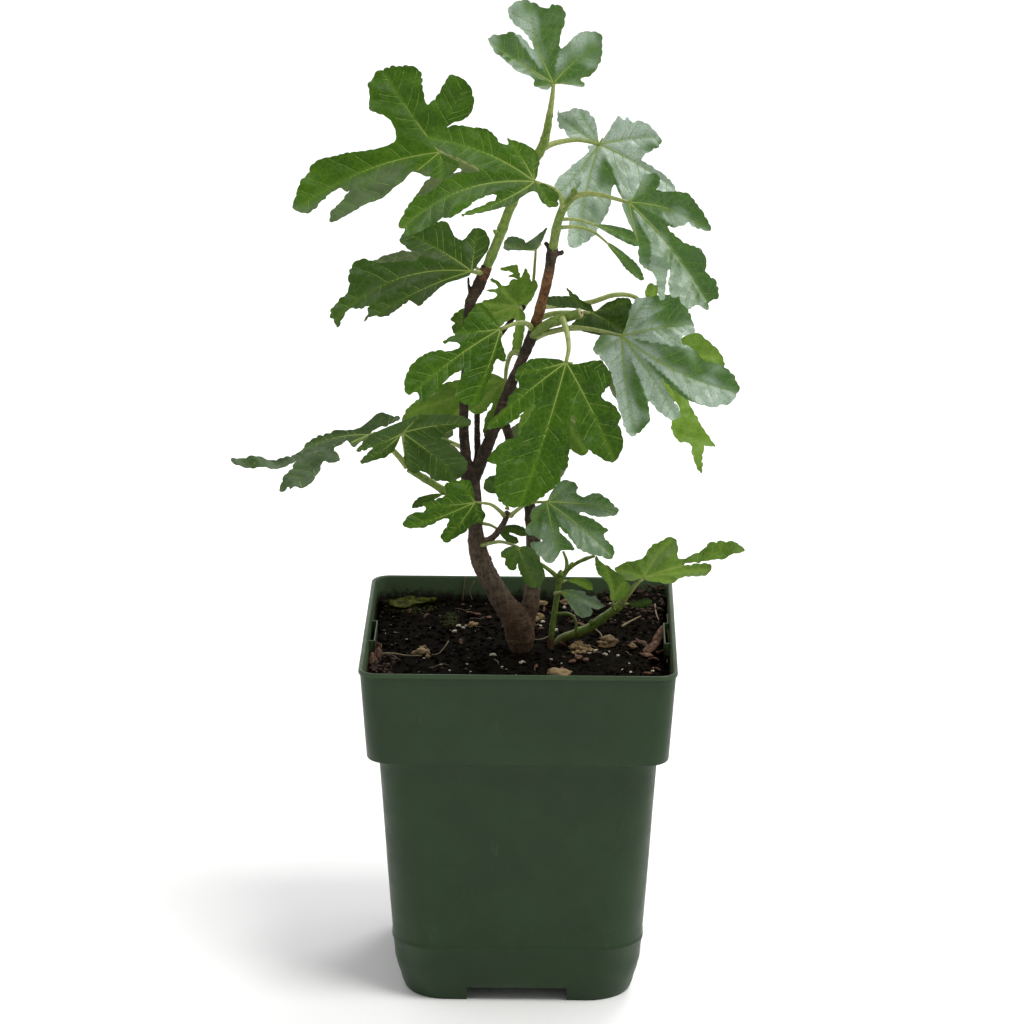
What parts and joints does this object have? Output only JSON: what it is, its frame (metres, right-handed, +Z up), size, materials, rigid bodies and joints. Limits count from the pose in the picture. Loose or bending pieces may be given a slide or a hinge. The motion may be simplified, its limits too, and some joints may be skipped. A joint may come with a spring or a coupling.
{
  "type": "potted fig tree",
  "caption": "Young fig tree in a square green nursery pot: forked woody stems from one root collar, green shoots, and large lobed leaves on long stalks above bare dark soil.",
  "frame": {"origin": "on the ground under the middle of the pot, on the foot block moulded under its floor", "axes": "+Z up, the pot's front towards -Y, +X to the right as seen from the front"},
  "size_m": [0.2055, 0.127, 0.4003],
  "materials": {
    "pot": "satin",
    "soil": "matte",
    "bark": "matte",
    "green_stem": "satin",
    "leaf": "satin"
  },
  "bodies": {
    "root": {"pot": "pot", "soil": "soil", "trunk": "bark", "stem_second": "bark", "stem_left": "green_stem", "stem_right": "green_stem", "stem_thin": "bark", "twig_low": "bark", "shoot_left": "green_stem", "shoot_stub": "green_stem", "sucker_short": "green_stem", "sucker_long": "green_stem", "leaf_back_centre": "leaf", "leaf_back_high": "leaf", "leaf_back_left": "leaf", "leaf_back_low": "leaf", "leaf_back_right": "leaf", "leaf_behind_centre": "leaf", "leaf_behind_front": "leaf", "leaf_behind_left": "leaf", "leaf_behind_middle": "leaf", "leaf_behind_stub": "leaf", "leaf_behind_top": "leaf", "leaf_centre": "leaf", "leaf_centre_left": "leaf", "leaf_dry_left": "leaf", "leaf_far_left": "leaf", "leaf_light_right": "leaf", "leaf_low_left": "leaf", "leaf_low_middle": "leaf", "leaf_mid_left": "leaf", "leaf_over_left": "leaf", "leaf_right": "leaf", "leaf_right_low": "leaf", "leaf_round": "leaf", "leaf_scrap": "leaf", "leaf_small_left": "leaf", "leaf_small_right": "leaf", "leaf_sucker_arch": "leaf", "leaf_sucker_big": "leaf", "leaf_sucker_curled": "leaf", "leaf_sucker_low": "leaf", "leaf_sucker_narrow": "leaf", "leaf_top": "leaf", "leaf_upper_left": "leaf", "leaf_upper_right": "leaf", "leaf_young_lower": "leaf", "leaf_young_upper": "leaf", "shoot_tip": "leaf"}
  },
  "joints": []
}
